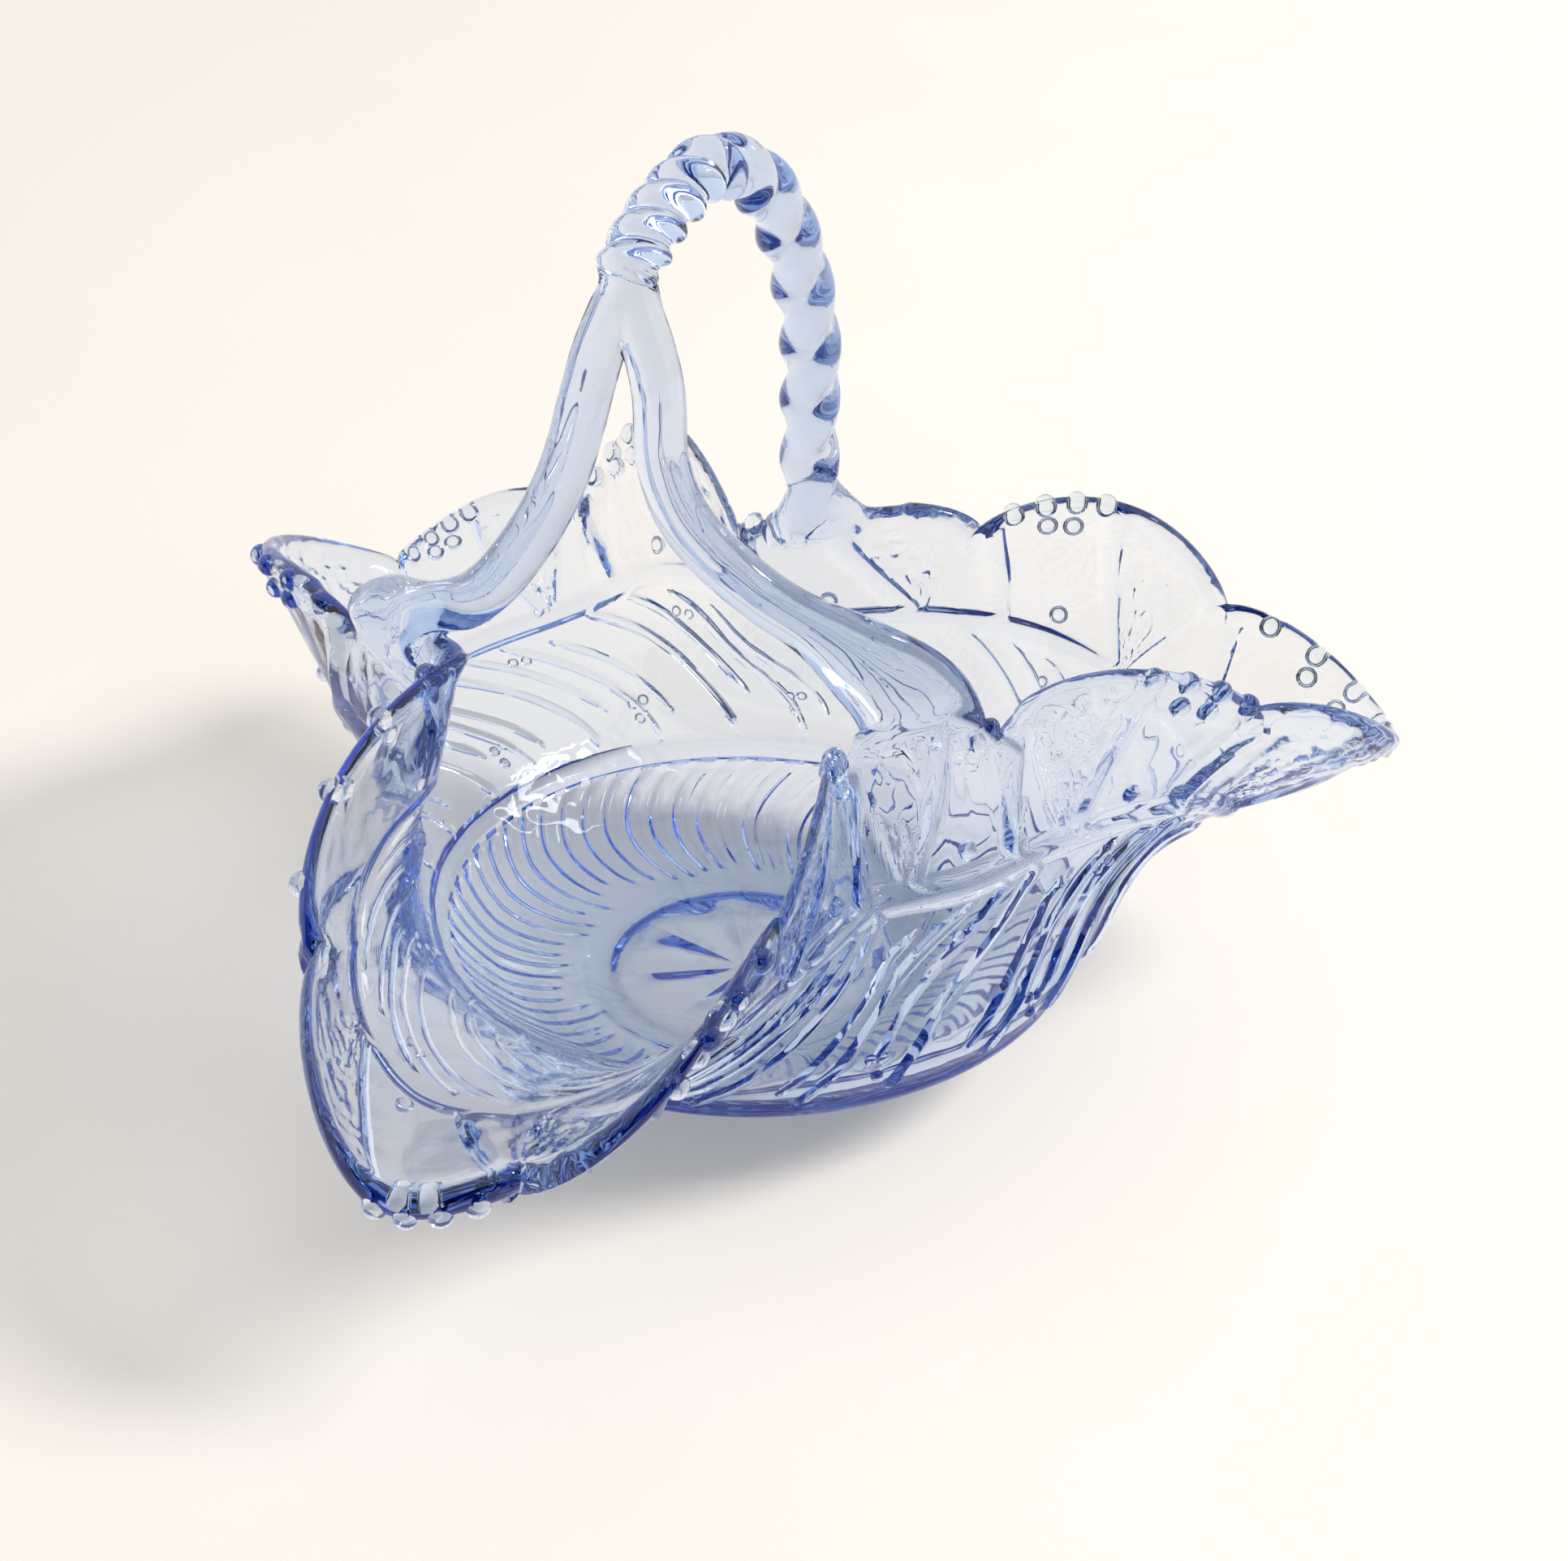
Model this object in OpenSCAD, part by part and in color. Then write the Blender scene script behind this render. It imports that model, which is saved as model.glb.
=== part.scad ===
// Pressed glass basket: a three-lobed bowl with a berry-and-leaf rim and a twisted handle on three feet.
// Millimetres. The foot rests on z = 0. The handle rises from the rear rim, at +y, and forks toward -y.

/* [Bowl] */
// Radius of the flat foot
foot_r = 24.5; // [22:0.5:28]
// Radius of the lower band, where the floor turns into the wall
well_r = 48; // [44:0.5:52]
// Height of the middle of the glass at the lower band
well_z = 14.8; // [13:0.1:17]
// Length of the wall from the lower band to a rim notch
wall_len = 48; // [44:0.5:52]
// Distance up the wall from the lower band to the middle band
mid_at = 30; // [27:0.5:33]
// Height of a rim scallop above its notches
scallop_rise = 8; // [5:0.5:10]

/* [Glass] */
// Thickness of the floor
floor_t = 5; // [4:0.1:6]
// Thickness of the wall
wall_t = 3.6; // [3:0.1:4.5]
// Thickness at the rim
rim_t = 3.0; // [2.6:0.1:3.6]
// Height of the two round bands
band_h = 1.3; // [0.8:0.1:1.8]
// Height of the leaf ribs
rib_h = 0.9; // [0.4:0.1:1.4]
// Radius of the stems at the rim
stem_r = 1.3; // [1:0.1:1.7]

/* [Berries] */
// Radius of a rim berry
berry_r = 2.1; // [1.7:0.1:2.5]

/* [Handle] */
// Height of the middle of the rope at the crown
crown_z = 133.5; // [120:0.5:145]
// Mean radius of the rope
rope_r = 4.35; // [3.8:0.05:5]
// Half turns of the rope between its joint and the fork
half_turns = 13; // [9:1:16]
// Radius of a leg just below the fork
leg_r = 3.5; // [3:0.1:4.2]
// Width of a foot of the handle along the rim
pad_w = 21; // [16:0.5:24]

/* [Hidden] */
glass = [0.45, 0.6, 0.88, 0.55];

scallops = 12;
per = 8;                 // columns of the wall in one scallop
cols = scallops * per;
first_az = 101.8;        // azimuth of the first notch in the mould, before the glass is crimped
well_slope = 45;         // slope of the wall where it leaves the floor
crimp_from = 14;         // length of wall over which the crimped slope builds up
lobe_stretch = 4.9;      // how much longer the wall is drawn where it lies flat
band_w = 2.3;            // half the width of a band

// Slope of the crimped wall at each notch and at each scallop between two notches, clockwise.
lean = [100, 104, 85, 67, 48, 25, 57, 81, 95, 100, 105, 87, 63, 36, 21, 18, 42, 92, 77, 46, 25, 26, 35, 67];
// Turn of the rim away from the mould at each notch, from the same crimping.
turn = [6.3, -10.4, -4.3, -4.7, -3.1, -5.4, 6.7, 16.3, 21.5, 0.9, -16.1, -7.2];

// Where the three feet of the handle meet the rim, counted in scallops.
joint_k = 0.44;
left_k = 8.86;
right_k = 4.5;

function mod(i, n) = ((i % n) + n) % n;
function unit(v) = v / norm(v);
function mix(a, b, f) = a + (b - a) * f;
function clamp(x) = min(1, max(0, x));
function smooth(x) = clamp(x) * clamp(x) * (3 - 2 * clamp(x));

// A smooth closed curve through the values of v, one value a step.
function around(v, x) =
    let (i = floor(x), f = x - i, n = len(v),
         a = v[mod(i - 1, n)], b = v[mod(i, n)], c = v[mod(i + 1, n)], d = v[mod(i + 2, n)])
    b + 0.5 * f * ((c - a) + f * ((2 * a - 5 * b + 4 * c - d) + f * (3 * (b - c) + d - a)));

// The wall is laid out by k, counted in scallops, and s, the distance up from the lower band.
function arch(k) = pow(sin(180 * (k - floor(k))), 0.62);
function wall_lean(k) = around(lean, 2 * k);
function wall_end(k) =
    wall_len + lobe_stretch * (1 - sin(min(90, wall_lean(k)))) + scallop_rise * arch(k);

bowl_rad = (well_z - floor_t / 2) / (1 - cos(well_slope));
function top_slope(k) =
    let (a = wall_lean(k)) a + (a - well_slope) * crimp_from / (2 * wall_end(k) - crimp_from);
// [radius, height, slope] of the middle of the glass
function middle(k, s) =
    s <= 0 ? let (a = well_slope + s / bowl_rad * 180 / PI)
        [well_r - bowl_rad * (sin(well_slope) - sin(a)), well_z - bowl_rad * (cos(a) - cos(well_slope)), a]
    : let (e = top_slope(k), turned = abs(e - well_slope) < 0.5 ? 0.5 : e - well_slope,
           q = min(s, crimp_from), a = well_slope + turned * q / crimp_from,
           bend = crimp_from / turned * 180 / PI)
        [well_r + bend * (sin(a) - sin(well_slope)) + (s - q) * cos(a),
         well_z + bend * (cos(well_slope) - cos(a)) + (s - q) * sin(a), a];
function thick(k, s) =
    s < 0 ? mix(wall_t, floor_t, clamp(-s / (bowl_rad * well_slope * PI / 180)))
    : mix(wall_t, rim_t, s / wall_end(k));
// A point of the glass, off its middle by out millimetres
function at(k, s, out) =
    let (m = middle(k, s), az = first_az - 30 * k + around(turn, k) * clamp(s / wall_end(k)),
         r = m[0] + out * sin(m[2]), z = m[1] - out * cos(m[2]))
    [r * cos(az), r * sin(az), z];

// Relief of the outside between the middle band and the rim: one leaf with its rib on each scallop
function leaf(k, h) =
    let (f = k - floor(k), rib = mix(0.72, 0.47, h), side = mix(0.88, 0.93, h))
    max(rib_h * clamp(1 - abs(f - rib) / 0.1),
        0.55 * rib_h * smooth((f - rib) / 0.08) * smooth((side - f) / 0.08));

mid_top = mid_at + band_w;
foot_slope = asin((foot_r + 1) / bowl_rad + sin(well_slope) - well_r / bowl_rad);
foot_s = (foot_slope - well_slope) * PI / 180 * bowl_rad;

// One column of the section, from the foot up the outside, over the rim and down the inside.
function column(k) =
    let (end = wall_end(k), span = end - mid_top)
    concat(
        [let (az = first_az - 30 * k) [foot_r * cos(az), foot_r * sin(az), 0]],
        [for (s = [foot_s, foot_s * 0.66, foot_s * 0.33, -band_w]) at(k, s, thick(k, s) / 2)],
        [for (s = [-0.4, 0.4]) at(k, s * band_w, wall_t / 2 + band_h)],
        [for (s = [band_w, 9, crimp_from + 2, mid_at - band_w]) at(k, s, thick(k, s) / 2)],
        [for (s = [-0.4, 0.4]) at(k, mid_at + s * band_w, thick(k, mid_at) / 2 + band_h)],
        [at(k, mid_top, thick(k, mid_top) / 2)],
        [for (h = [0.2, 0.42, 0.64, 0.84])
            at(k, mid_top + h * span, thick(k, mid_top + h * span) / 2 + leaf(k, h))],
        [at(k, end - 0.8, rim_t / 2), at(k, end, rim_t / 4)],
        [at(k, end, -rim_t / 4), at(k, end - 0.8, -rim_t / 2)],
        [for (h = [0.7, 0.3]) at(k, mid_top + h * span, -thick(k, mid_top + h * span) / 2)],
        [for (s = [crimp_from + 8, 8, foot_s * 0.15, foot_s * 0.9]) at(k, s, -thick(k, s) / 2)]
    );

module bowl() {
    wall = [for (c = [0 : cols - 1]) column(c / per)];
    rows = len(wall[0]);
    points = concat([for (c = wall) each c], [[0, 0, 0], [0, 0, floor_t]]);
    bottom = cols * rows;
    top = bottom + 1;
    faces = [for (c = [0 : cols - 1]) let (n = (c + 1) % cols) each concat(
        [[bottom, n * rows, c * rows]],
        [for (r = [0 : rows - 2]) each [
            [c * rows + r, n * rows + r + 1, c * rows + r + 1],
            [c * rows + r, n * rows + r, n * rows + r + 1]]],
        [[top, c * rows + rows - 1, n * rows + rows - 1]])];
    color(glass) polyhedron(points, faces, convexity = 10);
}

// Four berries along the first half of every scallop
module berries() {
    color(glass) for (n = [0 : scallops - 1], f = [0.1, 0.21, 0.32, 0.43])
        let (k = n + f)
        translate(at(k, wall_end(k) - 1.1, rim_t * 0.32)) sphere(berry_r, $fn = 6);
}

// A skin over a list of rings that all have the same number of points
module skin(rings) {
    n = len(rings[0]);
    m = len(rings);
    faces = concat(
        [[for (i = [0 : n - 1]) i]],
        [for (j = [0 : m - 2]) for (i = [0 : n - 1]) let (h = (i + 1) % n) each [
            [j * n + i, (j + 1) * n + h, j * n + h],
            [j * n + i, (j + 1) * n + i, (j + 1) * n + h]]],
        [[for (i = [n - 1 : -1 : 0]) (m - 1) * n + i]]);
    polyhedron([for (r = rings) each r], faces, convexity = 10);
}

// A smooth open curve through the points of v, for x from 0 to 1
function along(v, x) =
    let (n = len(v) - 1, i = min(floor(x * n), n - 1), f = x * n - i,
         b = v[i], c = v[i + 1],
         a = i > 0 ? v[i - 1] : 2 * b - c, d = i < n - 1 ? v[i + 2] : 2 * c - b)
    b + 0.5 * f * ((c - a) + f * ((2 * a - 5 * b + 4 * c - d) + f * (3 * (b - c) + d - a)));

function rim_at(k) = at(k, wall_end(k), 0);
joint = rim_at(joint_k);
left_foot = rim_at(left_k);
right_foot = rim_at(right_k);
rise = crown_z - joint[2];
// A point of the handle: x and y as shares of the radius of the lower band, f of the handle's height
function high(x, y, f) = [x * well_r, y * well_r, joint[2] + rise * f];
fork = high(-0.248, -0.454, 0.865);

rope_way = [
    joint + [-0.5, -0.5, -3], high(0.01, 0.629, 0.24), high(0.04, 0.485, 0.5),
    high(0.027, 0.308, 0.75), high(-0.035, 0.142, 0.93), high(-0.119, -0.031, 1),
    high(-0.175, -0.196, 0.98), high(-0.221, -0.337, 0.93), fork];
left_way = [
    fork + [1, 2, 1.5], high(-0.325, -0.458, 0.71), high(-0.45, -0.408, 0.42), high(-0.604, -0.362, 0.21),
    left_foot + [13, 1, 5], left_foot + [2.5, 0, 1.5], left_foot + [-1, 0, -5]];
right_way = [
    fork + [-1, 2, 1.5], high(-0.154, -0.475, 0.67), high(-0.125, -0.506, 0.5), high(-0.031, -0.529, 0.37),
    high(0.167, -0.529, 0.25), high(0.388, -0.517, 0.16),
    right_foot + [-1.5, 0, 1.5], right_foot + [0.5, 0, -5]];

rope_side = unit(cross(fork - joint, [0, 0, 1]));
rope_steps = 4 * half_turns;
module rope() {
    rings = [for (j = [0 : rope_steps]) let (
            x = j / rope_steps, p = along(rope_way, x),
            t = unit(along(rope_way, min(1, x + 0.01)) - along(rope_way, max(0, x - 0.01))),
            up = unit(cross(t, rope_side)), side = cross(up, t), twist = 180 * half_turns * x)
        [for (i = [0 : 9]) let (w = 36 * i, r = rope_r * (1 + 0.15 * cos(2 * (w - twist))))
            p + r * (cos(w) * side + sin(w) * up)]];
    color(glass) skin(rings);
}

// A smooth leg that spreads into a flat foot along the rim
module leg(way, k, steps = 13) {
    rim_dir = unit(rim_at(k + 0.2) - rim_at(k - 0.2));
    rings = [for (j = [0 : steps]) let (
            x = j / steps, p = along(way, x),
            t = unit(along(way, min(1, x + 0.02)) - along(way, max(0, x - 0.02))),
            wide = unit(rim_dir - (rim_dir * t) * t), deep = cross(t, wide),
            spread = smooth((x - 0.58) / 0.36),
            a = mix(mix(leg_r, 1.2 * leg_r, x), pad_w / 2, spread),
            b = mix(mix(leg_r, 1.15 * leg_r, x), 2.6, spread))
        [for (i = [0 : 9]) p + a * cos(36 * i) * wide + b * sin(36 * i) * deep]];
    color(glass) skin(rings);
}

// The rope ends on the rear rim in two short lobes
module rear_lobes() {
    color(glass) for (d = [-0.13, 0.13]) hull() {
        translate(joint + [0, -0.5, 4]) sphere(rope_r * 0.92, $fn = 10);
        translate(at(joint_k + d, wall_end(joint_k + d) - 2, 0)) sphere(rope_r * 0.75, $fn = 10);
    }
}

// A stem runs down from every notch to the middle band, standing out from the wall
module stems() {
    color(glass) for (n = [0 : scallops - 1]) hull() {
        translate(at(n, mid_at, thick(n, mid_at) / 2)) sphere(1.2 * stem_r, $fn = 5);
        translate(at(n, wall_end(n) - 1.5, rim_t * 0.3)) sphere(stem_r, $fn = 5);
    }
}

module glass_basket() {
    bowl();
    berries();
    stems();
    rope();
    rear_lobes();
    leg(left_way, left_k);
    leg(right_way, right_k);
}

glass_basket();
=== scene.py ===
# %% [markdown]
# # A pressed glass basket
# The real basket is one piece of pale sapphire-blue glass. Hot glass was pressed in a mould that
# carries the pattern on its outside, then the wall was crimped by hand into three lobes, and a
# twisted rope of glass was laid on hot as a handle. This lesson builds it as one closed mesh,
# because light bends at every surface of glass, and an inner wall that isn't there would show.

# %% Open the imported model
import math
import bpy
import bmesh
import numpy as np
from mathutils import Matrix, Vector


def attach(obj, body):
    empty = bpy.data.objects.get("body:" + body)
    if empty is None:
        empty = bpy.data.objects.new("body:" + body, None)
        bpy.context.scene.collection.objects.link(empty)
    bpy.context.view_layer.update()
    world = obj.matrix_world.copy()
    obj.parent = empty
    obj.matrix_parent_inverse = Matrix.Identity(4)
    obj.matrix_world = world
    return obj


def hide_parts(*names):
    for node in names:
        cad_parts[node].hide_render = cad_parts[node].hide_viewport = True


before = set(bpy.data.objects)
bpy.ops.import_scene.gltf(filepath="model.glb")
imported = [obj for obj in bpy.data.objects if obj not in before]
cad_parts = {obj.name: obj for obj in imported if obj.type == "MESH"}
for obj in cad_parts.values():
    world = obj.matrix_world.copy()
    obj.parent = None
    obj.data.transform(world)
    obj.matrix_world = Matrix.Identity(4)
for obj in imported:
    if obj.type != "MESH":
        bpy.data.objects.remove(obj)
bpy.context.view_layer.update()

MM = 0.001

# %% [markdown]
# The sizes below are those of the CAD model, in millimetres. The wall is laid out by two numbers:
# k counts scallops clockwise round the rim from the rear, and s is the distance up the wall from
# the lower band. They are kept as arrays, so one formula places every vertex at once.

# %% Sizes of the basket
SCALLOPS = 12
FOOT_R, WELL_R, WELL_Z = 24.5, 48.0, 14.8
WALL_LEN, MID_AT, RISE = 48.0, 30.0, 8.0
FLOOR_T, WALL_T, RIM_T = 5.0, 3.6, 3.0
BAND_W, BAND_H = 2.3, 1.3
WELL_SLOPE, CRIMP, STRETCH, FIRST_AZ = 45.0, 14.0, 4.9, 101.8
LEAN = np.array([100, 104, 85, 67, 48, 25, 57, 81, 95, 100, 105, 87,
                 63, 36, 21, 18, 42, 92, 77, 46, 25, 26, 35, 67], float)
TURN = np.array([6.3, -10.4, -4.3, -4.7, -3.1, -5.4, 6.7, 16.3, 21.5, 0.9, -16.1, -7.2])
BOWL_RAD = (WELL_Z - FLOOR_T / 2) / (1 - math.cos(math.radians(WELL_SLOPE)))
FOOT_S = math.radians(math.degrees(math.asin((FOOT_R + 1) / BOWL_RAD
                      + math.sin(math.radians(WELL_SLOPE)) - WELL_R / BOWL_RAD)) - WELL_SLOPE) * BOWL_RAD


def mix(a, b, f):
    return a + (b - a) * f


def smooth(x):
    x = np.clip(x, 0, 1)
    return x * x * (3 - 2 * x)


def around(values, x):
    """A smooth closed curve through the values, one value a step."""
    i = np.floor(x).astype(int)
    f, n = x - i, len(values)
    a, b, c, d = (values[(i + j) % n] for j in (-1, 0, 1, 2))
    return b + 0.5 * f * ((c - a) + f * ((2 * a - 5 * b + 4 * c - d) + f * (3 * (b - c) + d - a)))


def wall_end(k):
    lean = np.radians(np.minimum(90, around(LEAN, 2 * k)))
    arch = np.abs(np.sin(np.pi * (k - np.floor(k)))) ** 0.62
    return WALL_LEN + STRETCH * (1 - np.sin(lean)) + RISE * arch


def middle(k, s):
    """Radius, height and slope of the middle of the glass."""
    well = math.radians(WELL_SLOPE)
    a = around(LEAN, 2 * k)
    top = a + (a - WELL_SLOPE) * CRIMP / (2 * wall_end(k) - CRIMP)
    turned = np.where(np.abs(top - WELL_SLOPE) < 0.5, 0.5, top - WELL_SLOPE)
    q = np.clip(s, 0, CRIMP)
    slope = np.radians(np.where(s <= 0, WELL_SLOPE + np.degrees(s / BOWL_RAD),
                                WELL_SLOPE + turned * q / CRIMP))
    bend = np.where(s <= 0, BOWL_RAD, CRIMP / np.radians(turned))
    over = np.where(s <= 0, 0, s - q)
    r = WELL_R + bend * (np.sin(slope) - math.sin(well)) + over * np.cos(slope)
    z = WELL_Z + bend * (math.cos(well) - np.cos(slope)) + over * np.sin(slope)
    return r, z, slope


def thick(k, s):
    low = mix(WALL_T, FLOOR_T, np.clip(-s / (BOWL_RAD * math.radians(WELL_SLOPE)), 0, 1))
    return np.where(s < 0, low, mix(WALL_T, RIM_T, s / wall_end(k)))


def at(k, s, out):
    """Points of the glass in mm, off its middle by out."""
    k, s = np.asarray(k, float), np.asarray(s, float)
    r, z, slope = middle(k, s)
    az = np.radians(FIRST_AZ - 30 * k + around(TURN, k) * np.clip(s / wall_end(k), 0, 1))
    r, z = r + out * np.sin(slope), z - out * np.cos(slope)
    return np.stack([r * np.cos(az), r * np.sin(az), z], -1)


print("foot meets the outside at s =", round(FOOT_S, 2), "mm; radius of the bowl", round(BOWL_RAD, 2))

# %% [markdown]
# The mould cut its pattern into the outside only: two smooth bands, fine curved ribs under the
# floor, long tapered strokes between the bands, and on every scallop a stem, and a leaf with a rib
# and a stippled face. Each is a low hill on the wall, so relief() adds up their heights.

# %% The pressed pattern
COLUMNS_PER_SCALLOP = 50
SWIRLS = 60
# heights of the hills, in mm
STROKE_H, VEIN_H, STEM_H, LEAF_H, DOT_H = 1.1, 1.62, 1.5, 0.6, 0.42
# each stroke: the column it follows, its top and its tip up the wall, half its width
STROKES = ((0.02, 27.8, 3.0, 1.25), (0.26, 27.4, 9.0, 1.05),
           (0.47, 26.2, 2.8, 1.2), (0.66, 24.0, 6.0, 0.95))
rng = np.random.RandomState(5)
swirl_h = rng.uniform(0.45, 0.85, SWIRLS)
swirl_end = rng.uniform(0.82, 1.0, SWIRLS)


def ridge(distance, half_width):
    """A rounded hill, 1 high at its middle and 0 beyond its half width."""
    return np.clip(1 - (distance / half_width) ** 2, 0, 1) ** 0.75


def nearest(k, place):
    """How far k is from the nearest copy of place, one copy a scallop."""
    d = (k - place) % 1.0
    return np.minimum(d, 1 - d)


def sweep(column, s):
    """Scallops that a stroke has gone round from the middle band down to s, most at the front."""
    most = 1.0 - 0.22 * np.cos(2 * np.pi * column / SCALLOPS)
    return most * (1 - (1 - np.clip((27.5 - s) / 25, 0, 1)) ** 1.45)


def wave(t):
    """The same for the ribs under the floor, counted in ribs; t is 1 at the foot."""
    return 1.5 * np.sin(np.pi * t) + 0.9 * t


def leaf_lines(u):
    """Stem, leaf's rib and leaf's far edge along the scallop; u goes from the middle band to the rim."""
    bend = np.sin(np.pi / 2 * u)
    return 0.17 * (1 - u) ** 1.3, mix(0.76, 0.47, bend), mix(0.85, 0.93, bend)


def relief(k, s, column):
    """Height of the pattern in mm, and how strongly the leaf is stippled there."""
    f = k - np.floor(k)
    end = wall_end(k)
    r = np.maximum(middle(k, s)[0], 20)
    per = 2 * np.pi * r / SCALLOPS
    h = BAND_H * np.maximum(ridge(s, BAND_W), ridge(s - MID_AT, BAND_W))
    # ribs under the floor, from the lower band to the foot
    t = np.clip(s / FOOT_S, 0, 1)
    turn = k / SCALLOPS * SWIRLS + wave(t)
    which = np.floor(turn).astype(int) % SWIRLS
    swirl = swirl_h[which] * ridge(turn % 1.0 - 0.5, 0.34) * smooth((t - 0.09) / 0.05)
    swirl = swirl * smooth((swirl_end[which] - t) / 0.12)
    h = np.maximum(h, np.where(s < 0, swirl, 0))
    # strokes between the bands
    for start, high, low, width in STROKES:
        u = np.clip((high - s) / (high - low), 0, 1)
        w = width * mix(1.0, 0.35, u) * np.sqrt(np.clip((high + 0.8 - s) / 1.8, 0, 1))
        inside = (s < high + 0.8) & (s > low - 0.8)
        # the stroke slants, so straight across it is 0.7 of the way round
        hill = STROKE_H * ridge(nearest(column, start) * per * 0.7, np.maximum(w, 0.05))
        h = np.maximum(h, np.where(inside, hill * smooth((s - low + 0.8) / 3), 0))
    # leaf and stem between the middle band and the rim
    u = np.clip((s - MID_AT - BAND_W) / (end - MID_AT - BAND_W), 0, 1)
    up = s > MID_AT + 0.6 * BAND_W
    stalk, rib, side = leaf_lines(u)
    fade = smooth((end - s) / 1.2)
    leaf = LEAF_H * smooth((f - rib) * per / 0.7) * smooth((side - f) * per / 0.7)
    vein = VEIN_H * ridge(np.abs(f - rib) * per, 1.3)
    stem = STEM_H * ridge(nearest(k, stalk) * per, mix(1.2, 1.4, u))
    h = np.maximum(h, np.where(up, np.maximum(np.maximum(leaf, vein), stem) * fade, 0))
    rough = smooth((f - rib) * per / 1.5 - 0.6) * smooth((side - f) * per / 1.5) * fade
    return h, np.where(up, rough, 0)


print("swirl ribs", SWIRLS, "strokes", len(STROKES) * SCALLOPS)

# %% [markdown]
# A sheet of grid squares can become any of these forms: its two edges meet as the seam of a tube,
# and a row whose vertices all land on one point is a pole. place() says where each vertex goes,
# from two numbers between 0 and 1. The doubled vertices are then merged, which closes the form.

# %% Bend a grid into a closed form
def only(obj):
    bpy.ops.object.select_all(action="DESELECT")
    obj.select_set(True)
    bpy.context.view_layer.objects.active = obj


def tidy_up(obj):
    """Merges doubles and turns the faces outward."""
    only(obj)
    bpy.ops.object.mode_set(mode="EDIT")
    bpy.ops.mesh.select_all(action="SELECT")
    bpy.ops.mesh.remove_doubles(threshold=2e-6)
    bpy.ops.mesh.dissolve_degenerate(threshold=1e-7)
    bpy.ops.mesh.normals_make_consistent(inside=False)
    bpy.ops.object.mode_set(mode="OBJECT")
    return obj


def bend_grid(name, columns, rows, place):
    bpy.ops.object.select_all(action="DESELECT")
    bpy.ops.mesh.primitive_grid_add(x_subdivisions=columns, y_subdivisions=rows, size=2)
    obj = bpy.context.object
    obj.name = obj.data.name = name
    flat = np.empty(len(obj.data.vertices) * 3)
    obj.data.vertices.foreach_get("co", flat)
    u, v = (flat.reshape(-1, 3)[:, 0] + 1) / 2, (flat.reshape(-1, 3)[:, 1] + 1) / 2
    column = np.round(u * columns).astype(int) % columns
    points = place(column / columns, np.round(v * rows).astype(int))
    obj.data.vertices.foreach_set("co", (points * MM).ravel())
    obj.data.update()
    return tidy_up(obj)


def count(obj):
    mesh = bmesh.new()
    mesh.from_mesh(obj.data)
    open_edges = sum(not e.is_manifold for e in mesh.edges)
    triangles = sum(len(f.verts) - 2 for f in mesh.faces)
    volume = mesh.calc_volume(signed=True) * 1e9
    mesh.free()
    print(f"{obj.name}: {triangles} triangles, {open_edges} open edges, {volume:.0f} mm3")


# %% [markdown]
# The bowl's section runs from the centre of the foot, out along its underside, up the patterned
# outside, over the thickened lip and down the smooth inside to the centre of the floor. Rows are
# closest where the pattern is fine. The underside of the foot is pressed in a little, so that the
# basket stands on a ring. Columns that crossed a stroke would cut it into teeth, so follow() bends
# them along the pattern.

# %% Bowl
OUT, RIM, IN, FLAT = 0, 1, 2, 3  # on the wall, near the rim, round the lip, level
ROUND, LIP, RECESS, PETAL_H = 1.5, 1.2, 0.9, 0.7
section = [(FLAT, r, RECESS) for r in (0.0, 3.5, 6.5, 9.5, 12.5, 15.5, 18.0, 19.8)]
section += [(FLAT, 20.6, 0.7), (FLAT, 21.4, 0.15), (FLAT, 22.0, 0.0), (FLAT, FOOT_R, 0.0)]
section += [(OUT, s, 0) for s in np.linspace(FOOT_S, -BAND_W - 0.3, 23)]
section += [(OUT, s, 0) for s in np.linspace(-BAND_W, BAND_W, 7)]
section += [(OUT, s, 0) for s in np.linspace(BAND_W + 0.6, MID_AT - BAND_W - 0.4, 39)]
section += [(OUT, s, 0) for s in np.linspace(MID_AT - BAND_W, MID_AT + BAND_W, 7)]
section += [(RIM, h, 0) for h in np.linspace(0.035, 0.95, 25)]
section += [(IN, angle, 0) for angle in (90, 50, 15, -20, -55, -90)]
section += [(RIM, h, 1) for h in (0.93, 0.82, 0.7, 0.35, 0.0)]
section += [(OUT, s, 1) for s in (21.0, 14.0, 9.0, 4.5, 0.0, -10.0, -21.0, -33.0)]
section += [(FLAT, 9.0, FLOOR_T), (FLAT, 0.0, FLOOR_T)]
kinds, first, second = (np.array(c, float) for c in zip(*section))
stipple = rng.uniform(-1, 1, (COLUMNS_PER_SCALLOP * SCALLOPS, len(section)))


def follow(k, kind, s, up):
    """Bends the grid's columns so that they run along the ribs, strokes and leaves, never across."""
    t = np.clip(s / FOOT_S, 0, 1)
    below = k + np.where(kind == FLAT, sweep(k, 0) - wave(1) * SCALLOPS / SWIRLS,
                         sweep(k, s) - wave(t) * SCALLOPS / SWIRLS)
    whole, f = np.floor(k), k - np.floor(k)
    stalk, rib, side = leaf_lines(up)
    over_leaf = np.where(f < 0.9, mix(rib, side, (f - 0.5) / 0.4), mix(side, 1 + stalk, (f - 0.9) / 0.1))
    leaf = np.where(f < 0.5, mix(stalk, rib, f / 0.5), over_leaf)
    above = whole + mix(f, leaf, smooth((s - MID_AT) / BAND_W / 2 + 0.5))
    return np.where((kind == FLAT) | (s < MID_AT - BAND_W), below, above)


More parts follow.
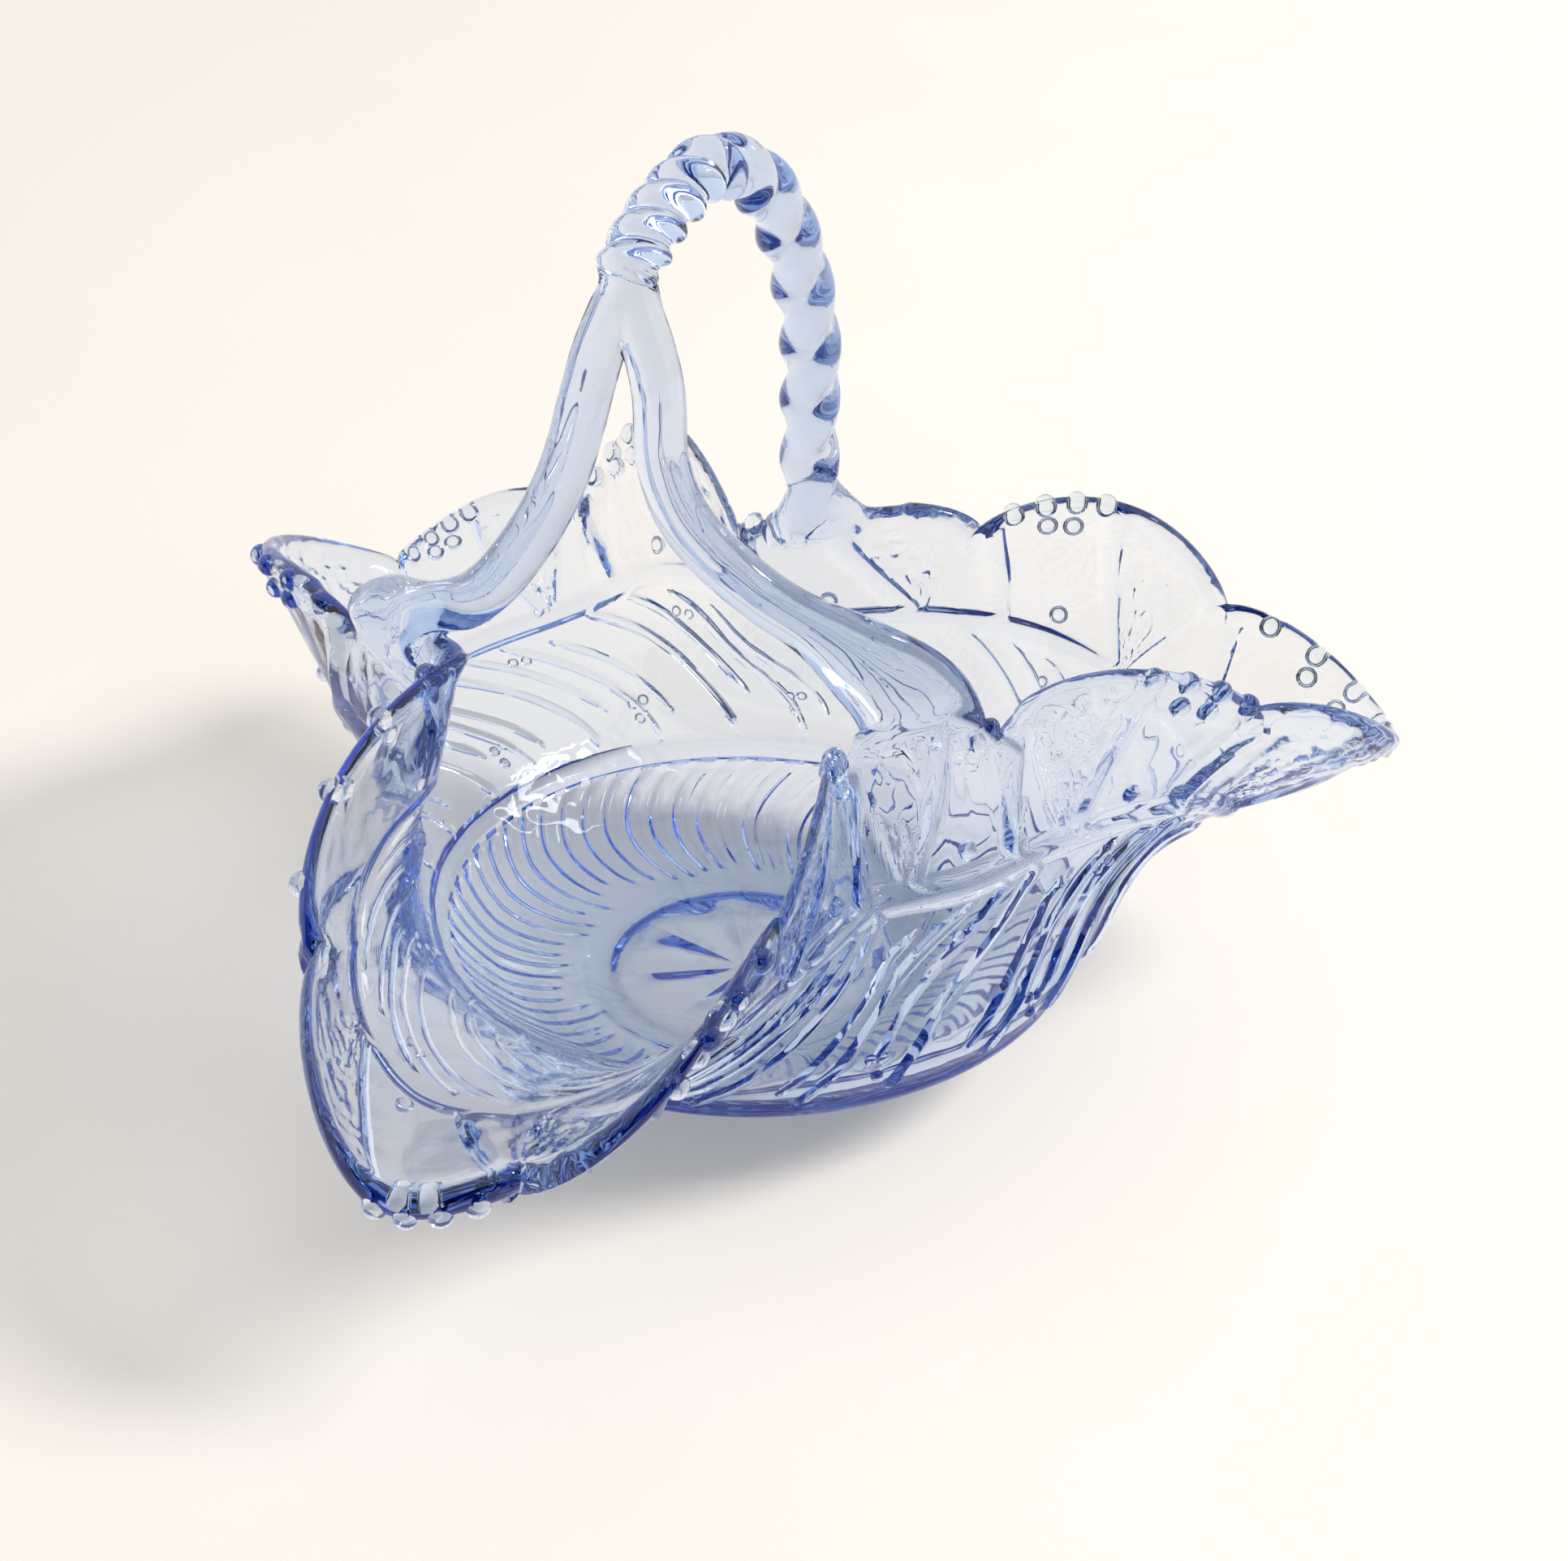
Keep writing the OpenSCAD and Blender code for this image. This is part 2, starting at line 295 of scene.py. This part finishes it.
def bowl_place(turn, row):
    kind, a, b = kinds[row], first[row], second[row]
    outside = (kind == OUT) & (b < 0.5) | (kind == FLAT) & (row < len(section) // 2)
    mid_top = MID_AT + BAND_W
    level = np.where(kind == OUT, a, mid_top)
    up = np.where((kind == RIM) & (b < 0.5), 0.94 * a, 1.0)
    k = follow(turn * SCALLOPS, np.where(outside, kind, RIM), np.where(outside, level, mid_top),
               np.where(kind == OUT, 0.0, up))
    end = wall_end(k) - 0.2  # the CAD rim has short flats, and this rounder one stays inside them
    s = np.where(kind == RIM, mid_top + a * (end - ROUND - mid_top), end - ROUND)
    s = np.where(kind == OUT, a, s)
    half = thick(k, s) / 2
    h, rough = relief(k, s, turn * SCALLOPS)
    dots = stipple[np.round(turn * COLUMNS_PER_SCALLOP * SCALLOPS).astype(int), row]
    out = np.where(b > 0.5, -half - LIP * smooth((s - end + 5) / 3.5), half + h + DOT_H * rough * dots)
    angle = np.radians(a)
    s = np.where(kind == IN, end - ROUND + ROUND * np.cos(angle), s)
    out = np.where(kind == IN, (RIM_T + LIP) / 2 * np.sin(angle) - LIP / 2, out)
    points = at(k, s, out)
    az = np.radians(FIRST_AZ - 30 * k)
    # under the foot a flower of eight petals is pressed in
    petal = PETAL_H * np.abs(np.cos(4 * az)) * smooth((a - 2) / 6) * smooth((19.5 - a) / 4) * (b < 1)
    flat = np.stack([a * np.cos(az), a * np.sin(az), b + petal], -1)
    return np.where((kind == FLAT)[:, None], flat, points)


bowl = bend_grid("glass_body", COLUMNS_PER_SCALLOP * SCALLOPS, len(section) - 1, bowl_place)
count(bowl)

# %% [markdown]
# The rope handle is two strands of soft glass twisted together, so its section is two overlapping
# rounds that turn as they go. It starts on the rear rim and ends at the fork, where it parts into
# two smooth legs. Each leg spreads into a flat foot along the rim. The way of each is a smooth curve
# through points that the CAD model gives.

# %% Ways of the handle
def along(way, x):
    """Points of a smooth open curve through the way's points, for x from 0 to 1."""
    way = np.vstack([2 * way[0] - way[1], way, 2 * way[-1] - way[-2]])
    n = len(way) - 3
    i = np.minimum(np.floor(x * n).astype(int), n - 1)
    f = (x * n - i)[:, None]
    a, b, c, d = (way[i + j] for j in range(4))
    return b + 0.5 * f * ((c - a) + f * ((2 * a - 5 * b + 4 * c - d) + f * (3 * (b - c) + d - a)))


def unit(v):
    return v / np.linalg.norm(v, axis=-1, keepdims=True)


def rim_at(k):
    return at(k, wall_end(np.float64(k)), 0)


CROWN_Z, ROPE_R, HALF_TURNS, LEG_R, PAD_W = 133.5, 4.35, 13, 3.5, 21.0
JOINT_K, LEFT_K, RIGHT_K = 0.44, 8.86, 4.5
joint, left_foot, right_foot = rim_at(JOINT_K), rim_at(LEFT_K), rim_at(RIGHT_K)


def high(x, y, f):
    return np.array([x * WELL_R, y * WELL_R, joint[2] + (CROWN_Z - joint[2]) * f])


fork = high(-0.248, -0.454, 0.865)
rope_way = np.array([joint + [-0.5, -0.5, -3], high(0.01, 0.629, 0.24), high(0.04, 0.485, 0.5),
                     high(0.027, 0.308, 0.75), high(-0.035, 0.142, 0.93), high(-0.119, -0.031, 1),
                     high(-0.175, -0.196, 0.98), high(-0.221, -0.337, 0.93), fork])
left_way = np.array([fork + [1, 2, 1.5], high(-0.325, -0.458, 0.71), high(-0.45, -0.408, 0.42),
                     high(-0.604, -0.362, 0.21), left_foot + [13, 1, 5], left_foot + [2.5, 0, 1.5],
                     left_foot + [-1, 0, -5]])
right_way = np.array([fork + [-1, 2, 1.5], high(-0.154, -0.475, 0.67), high(-0.125, -0.506, 0.5),
                      high(-0.031, -0.529, 0.37), high(0.167, -0.529, 0.25), high(0.388, -0.517, 0.16),
                      right_foot + [-1.5, 0, 1.5], right_foot + [0.5, 0, -5]])
rope_side = unit(np.cross(fork - joint, [0, 0, 1]))
print("joint", joint.round(1), "fork", fork.round(1), "feet", left_foot.round(1), right_foot.round(1))

# %% [markdown]
# A grid is wrapped round each way. At every row two directions square to the way span its section:
# for the rope a double round that turns with the twist, for a leg an oval that widens along the rim.

# %% Rope
STRAND_R, STRAND_OFF = 3.5, 1.15
ROPE_COLUMNS, ROPE_ROWS = 24, 208


def capped(x, rows):
    """1 along the form, and 0 on its first and last row, where it closes on a pole."""
    return ((x > 0) & (x < rows)).astype(float)


def rope_place(turn, row):
    x = np.clip((row - 1) / (ROPE_ROWS - 2), 0, 1)
    p = along(rope_way, x)
    t = unit(along(rope_way, np.minimum(1, x + 0.01)) - along(rope_way, np.maximum(0, x - 0.01)))
    up = unit(np.cross(t, rope_side))
    side = np.cross(up, t)
    w = 2 * np.pi * turn
    angle = w - np.radians(180 * HALF_TURNS * x)
    r = STRAND_OFF * np.abs(np.cos(angle)) + np.sqrt(STRAND_R ** 2 - (STRAND_OFF * np.sin(angle)) ** 2)
    r = r * capped(row, ROPE_ROWS)
    return p + (r * np.cos(w))[:, None] * side + (r * np.sin(w))[:, None] * up


rope = bend_grid("rope", ROPE_COLUMNS, ROPE_ROWS, rope_place)
count(rope)

# %% Legs
LEG_COLUMNS, LEG_ROWS = 28, 56
PAD_HALF_T = 2.6  # half the thickness of a leg's foot


def leg(name, way, k):
    rim_dir = unit(rim_at(k + 0.2) - rim_at(k - 0.2))

    def place(turn, row):
        x = np.clip((row - 1) / (LEG_ROWS - 2), 0, 1)
        p = along(way, x)
        t = unit(along(way, np.minimum(1, x + 0.02)) - along(way, np.maximum(0, x - 0.02)))
        wide = unit(rim_dir - (t @ rim_dir)[:, None] * t)
        deep = np.cross(t, wide)
        spread = smooth((x - 0.62) / 0.34)
        a = mix(mix(LEG_R, 1.15 * LEG_R, x), 0.94 * PAD_W / 2, spread) * capped(row, LEG_ROWS)
        b = mix(mix(LEG_R, 1.15 * LEG_R, x), PAD_HALF_T, spread) * capped(row, LEG_ROWS)
        w = 2 * np.pi * turn
        return p + (a * np.cos(w))[:, None] * wide + (b * np.sin(w))[:, None] * deep

    obj = bend_grid(name, LEG_COLUMNS, LEG_ROWS, place)
    count(obj)
    return obj


left_leg = leg("left_leg", left_way, LEFT_K)
right_leg = leg("right_leg", right_way, RIGHT_K)

# %% [markdown]
# On the rear rim the rope is pressed down in two short lobes. Each is the skin stretched over two
# round drops of glass, which Convex Hull makes from two spheres.

# %% Rear lobes
def drop(centre, radius, segments=24, rings=14):
    bpy.ops.object.select_all(action="DESELECT")
    bpy.ops.mesh.primitive_uv_sphere_add(segments=segments, ring_count=rings, radius=radius * MM,
                                         location=[c * MM for c in centre])
    obj = bpy.context.object
    bpy.ops.object.transform_apply(location=True, rotation=True, scale=True)
    return obj


def join(objects, name):
    bpy.ops.object.select_all(action="DESELECT")
    for obj in objects:
        obj.select_set(True)
    bpy.context.view_layer.objects.active = objects[0]
    bpy.ops.object.join()
    objects[0].name = objects[0].data.name = name
    return objects[0]


lobes = []
for side, d in (("left", -0.13), ("right", 0.13)):
    k = JOINT_K + d
    pair = join([drop(joint + [0, -0.5, 4], ROPE_R * 0.92),
                 drop(at(k, wall_end(np.float64(k)) - 2, 0), ROPE_R * 0.75)], side + "_lobe")
    only(pair)
    bpy.ops.object.mode_set(mode="EDIT")
    bpy.ops.mesh.select_all(action="SELECT")
    bpy.ops.mesh.convex_hull()
    bpy.ops.object.mode_set(mode="OBJECT")
    lobes.append(tidy_up(pair))
    count(pair)

# %% [markdown]
# The berries are half-round knobs. One is a small sphere sunk into the wall: four along the first
# half of every scallop, two below them, one low down beside the leaf, and little seeds between the
# bands. They are the same few dozen faces each time.

# %% Berries and seeds
def on_wall(k, s, sink, radius):
    """A knob whose centre lies sink mm under the outside of the wall."""
    return drop(at(k, s, thick(k, s) / 2 - sink), radius, 12, 8)


knobs = []
for n in range(SCALLOPS):
    for f in (0.1, 0.21, 0.32, 0.43):
        k = np.float64(n + f)
        knobs.append(drop(at(k, wall_end(k) - 1.45, RIM_T * 0.32), 1.8, 12, 8))
    for f, below in ((0.235, 5.0), (0.335, 5.4)):
        k = np.float64(n + f)
        knobs.append(on_wall(k, wall_end(k) - below, 0.2, 1.75))
    knobs.append(on_wall(np.float64(n + 0.44), np.float64(MID_AT + BAND_W + 2.6), 0.2, 1.55))
    for f, s in ((0.52, 23.5), (0.60, 23.0), (0.17, 9.3), (0.24, 9.6), (0.20, 6.6)):
        knobs.append(on_wall(np.float64(n + f), np.float64(s), 0.15, 1.0))
knobs = join(knobs, "berries")
count(knobs)

# %% [markdown]
# All these forms overlap, as fused glass does. Boolean unions turn them into one skin with nothing
# inside it.

# %% Fuse the glass
for tool in [rope, left_leg, right_leg, *lobes, knobs]:
    only(bowl)
    union = bowl.modifiers.new("fuse", "BOOLEAN")
    union.operation, union.object, union.solver = "UNION", tool, "MANIFOLD"
    bpy.ops.object.modifier_apply(modifier=union.name)
    bpy.data.objects.remove(tool)
count(bowl)

# %% [markdown]
# Hot glass flows into a fillet where it lands. So the sharp edges near the handle's joints are
# looked up, and the vertices round them are smoothed.

# %% Soften the joints
mesh = bmesh.new()
mesh.from_mesh(bowl.data)
fused = [joint + [0, 0, 2], left_foot, right_foot, fork]
reach = [11, 17, 15, 9]
marked = set()
for edge in mesh.edges:
    if edge.is_manifold and edge.calc_face_angle() > math.radians(28):
        p = np.array(edge.verts[0].co) / MM
        if any(np.linalg.norm(p - c) < r for c, r in zip(fused, reach)):
            marked.update(edge.verts)
for grow in range(2):
    marked.update([e.other_vert(v) for v in list(marked) for e in v.link_edges])
for part in (mesh.faces, mesh.edges, mesh.verts):
    for item in part:
        item.select = False
for v in marked:
    v.select = True
mesh.select_flush_mode()
mesh.to_mesh(bowl.data)
mesh.free()
only(bowl)
bpy.ops.object.mode_set(mode="EDIT")
bpy.ops.mesh.vertices_smooth(factor=0.5, repeat=8)
bpy.ops.mesh.select_all(action="SELECT")
bpy.ops.mesh.normals_make_consistent(inside=False)
bpy.ops.object.mode_set(mode="OBJECT")
bpy.ops.object.shade_smooth_by_angle(angle=math.radians(48))
count(bowl)

# %% [markdown]
# The glass is pale soda-lime glass with a little cobalt, pressed and fire-polished. A thin wall of
# it looks nearly clear, and a thick part or an edge looks deep blue, because the colour is in the
# body of the glass: light loses red and then green on its way through. So the surface is clear, and
# Volume Absorption holds the colour, with its density worked out per metre of glass.

# %% Glass
def linear(hex_colour):
    """An sRGB hex colour as the linear colour that a socket takes."""
    channels = [int(hex_colour[i:i + 2], 16) / 255 for i in (1, 3, 5)]
    return [c / 12.92 if c <= 0.04045 else ((c + 0.055) / 1.055) ** 2.4 for c in channels] + [1.0]


def add_node(tree, kind, links=None, **settings):
    """Adds a node. Settings name its properties or inputs, and links its inputs to other outputs."""
    node = tree.nodes.new(kind)
    for name, value in settings.items():
        if hasattr(node, name):
            setattr(node, name, value)
        else:
            node.inputs[name.replace("_", " ")].default_value = value
    for name, output in (links or {}).items():
        tree.links.new(output, node.inputs[name])
    return node


def new_material(name):
    made = bpy.data.materials.new(name)
    made.use_nodes = True
    made.node_tree.nodes.clear()
    return made, made.node_tree


blue_glass, tree = new_material("pressed_soda_lime_glass")
place = add_node(tree, "ShaderNodeTexCoord")
# the skin that the mould left: soft ripples about 5 mm apart
ripple = add_node(tree, "ShaderNodeTexNoise", {"Vector": place.outputs["Object"]},
                  Scale=200.0, Detail=0.0)
bump = add_node(tree, "ShaderNodeBump", {"Height": ripple.outputs["Fac"]}, Strength=0.25, Distance=0.0006)
skin = add_node(tree, "ShaderNodeBsdfPrincipled", {"Normal": bump.outputs["Normal"]},
                Base_Color=(1.0, 1.0, 1.0, 1.0), Roughness=0.0, IOR=1.52, Transmission_Weight=1.0)
GLASS_BLUE, GLASS_DENSITY = "#50A2E7", 54.0
body = add_node(tree, "ShaderNodeVolumeAbsorption", Color=linear(GLASS_BLUE), Density=GLASS_DENSITY)
add_node(tree, "ShaderNodeOutputMaterial",
         {"Surface": skin.outputs["BSDF"], "Volume": body.outputs["Volume"]})
bowl.data.materials.clear()
bowl.data.materials.append(blue_glass)
for depth in (0.004, 0.04):
    left = [round(math.exp(-GLASS_DENSITY * (1 - c) * depth), 2) for c in linear(GLASS_BLUE)[:3]]
    print("light left after", round(depth / MM), "mm of glass:", left)

# %% [markdown]
# The glass now takes the place of the CAD model's one part, so that it moves as that part would.

# %% Put the glass in the frame
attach(bowl, "root")
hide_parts("glass_basket")
print(bowl.name, "stands for glass_basket, on body root, in slot blue_glass")

# %% [markdown]
# The basket stands on plain warm-white paper, which the glass shows and which keeps its shadow. It
# is lit by a large soft lamp from the right and by an even white room. The room is plain white where
# the camera or the glass sees it, and somewhat darker as a light on the paper.

# %% Floor
bpy.ops.object.select_all(action="DESELECT")
bpy.ops.mesh.primitive_plane_add(size=6.0, location=(0, 0, -0.0004))
floor = bpy.context.object
floor.name = "paper_floor"
bpy.ops.object.transform_apply(location=True, rotation=True, scale=True)
paper, tree = new_material("warm_white_paper")
place = add_node(tree, "ShaderNodeTexCoord")
fibre = add_node(tree, "ShaderNodeTexNoise", {"Vector": place.outputs["Object"]}, Scale=9.0, Detail=3.0)
tone = add_node(tree, "ShaderNodeMix", {"Factor": fibre.outputs["Fac"]}, data_type="RGBA")
tone.inputs["A"].default_value = linear("#FFFCF7")
tone.inputs["B"].default_value = linear("#FDF7EF")
sheet = add_node(tree, "ShaderNodeBsdfPrincipled", {"Base Color": tone.outputs["Result"]}, Roughness=0.85)
add_node(tree, "ShaderNodeOutputMaterial", {"Surface": sheet.outputs["BSDF"]})
floor.data.materials.append(paper)
print("floor", [round(v, 2) for v in floor.dimensions], "m")

# %% Room and lamps
world = bpy.context.scene.world or bpy.data.worlds.new("room")
bpy.context.scene.world = world
world.use_nodes = True
tree = world.node_tree
tree.nodes.clear()
ways = add_node(tree, "ShaderNodeLightPath")
seen = ways.outputs["Is Camera Ray"]
for way in ("Is Transmission Ray", "Is Glossy Ray"):
    seen = add_node(tree, "ShaderNodeMath", {0: seen, 1: ways.outputs[way]}, operation="MAXIMUM").outputs[0]
room = add_node(tree, "ShaderNodeBackground", Color=linear("#FFFEFD"), Strength=0.62)
white = add_node(tree, "ShaderNodeBackground", Color=linear("#FFFEFC"), Strength=1.0)
either = add_node(tree, "ShaderNodeMixShader", {0: seen, 1: room.outputs[0], 2: white.outputs[0]})
add_node(tree, "ShaderNodeOutputWorld", {"Surface": either.outputs[0]})


def lamp(name, place, aim, size, power, colour="#FFFFFF"):
    bpy.ops.object.light_add(type="AREA", location=place)
    obj = bpy.context.object
    obj.name = name
    obj.rotation_euler = (Vector(aim) - Vector(place)).to_track_quat("-Z", "Y").to_euler()
    obj.data.shape = "DISK"
    obj.data.size, obj.data.energy = size, power
    obj.data.color = linear(colour)[:3]
    return obj


AZIMUTH = 15.0  # degrees that the camera stands round to the right of the front


def from_camera(x, y, z):
    """A place given as right, away and up of the camera's heading, in the frame's own axes."""
    a = math.radians(AZIMUTH)
    return (x * math.cos(a) - y * math.sin(a), x * math.sin(a) + y * math.cos(a), z)


key = lamp("key", from_camera(1.40, 0.03, 1.21), (0, 0, 0.03), 0.70, 23.5, "#FFFBF5")
# a reflection of so large a lamp would hide the pattern, so a second, small lamp makes bright spots
key.visible_glossy = False
spark = lamp("spark", from_camera(0.80, 0.05, 0.95), (0, 0, 0.03), 0.10, 1.5)
spark.visible_diffuse = spark.visible_transmission = False
print("lamps at", [[round(v, 2) for v in obj.location] for obj in (key, spark)])

# %% [markdown]
# Clear glass in a white room has no lines of its own. A photographer puts a dark card where only the
# ridges and edges of the glass bend a look towards it, and they turn dark. Here it stands behind the
# camera, and neither the camera nor the paper sees it.

# %% Dark card
bpy.ops.object.select_all(action="DESELECT")
bpy.ops.mesh.primitive_plane_add(size=1.0, location=from_camera(0, -0.62, 0.42),
                                 rotation=(math.pi / 2, 0, math.radians(AZIMUTH)))
card = bpy.context.object
card.name = "dark_card"
card.scale = (1.5, 0.75, 1)
card.visible_camera = card.visible_diffuse = card.visible_shadow = False
bpy.ops.object.transform_apply(location=True, rotation=True, scale=True)
dark, tree = new_material("dark_grey_card")
face = add_node(tree, "ShaderNodeBsdfPrincipled", Base_Color=linear("#26282C"), Roughness=0.8)
add_node(tree, "ShaderNodeOutputMaterial", {"Surface": face.outputs["BSDF"]})
card.data.materials.append(dark)
print("card", [round(v, 2) for v in card.dimensions], "m")

# %% [markdown]
# The camera stands where the photograph was taken from: 31 degrees above the horizon, a little to
# the right of the basket's front, with a short telephoto lens.

# %% Camera
LENS_PX, DISTANCE, ELEVATION, ROLL = 3600.0, 0.439, 31.0, 0.9
target = Vector((0, 0, 0.040))
e, a = math.radians(ELEVATION), math.radians(AZIMUTH)
back = Vector((math.sin(a) * math.cos(e), -math.cos(a) * math.cos(e), math.sin(e)))
bpy.ops.object.camera_add(location=target + back * DISTANCE)
camera = bpy.context.object
camera.rotation_euler = (-back).to_track_quat("-Z", "Y").to_euler()
camera.rotation_euler.rotate_axis("Z", math.radians(ROLL))
camera.data.sensor_width = 36.0
camera.data.lens = LENS_PX / 1932 * 36
camera.data.shift_x, camera.data.shift_y = 43 / 1932, -18 / 1932
camera.data.clip_start = 0.01
bpy.context.scene.camera = camera
bpy.context.scene.view_settings.view_transform = "Standard"
# light turns back and forth many times inside glass before it gets out, so its path may be long
bpy.context.scene.cycles.max_bounces = bpy.context.scene.cycles.transmission_bounces = 28
bpy.context.scene.cycles.glossy_bounces = 12
print("camera at, mm", [round(v / MM, 1) for v in camera.location], "lens", round(camera.data.lens, 1))
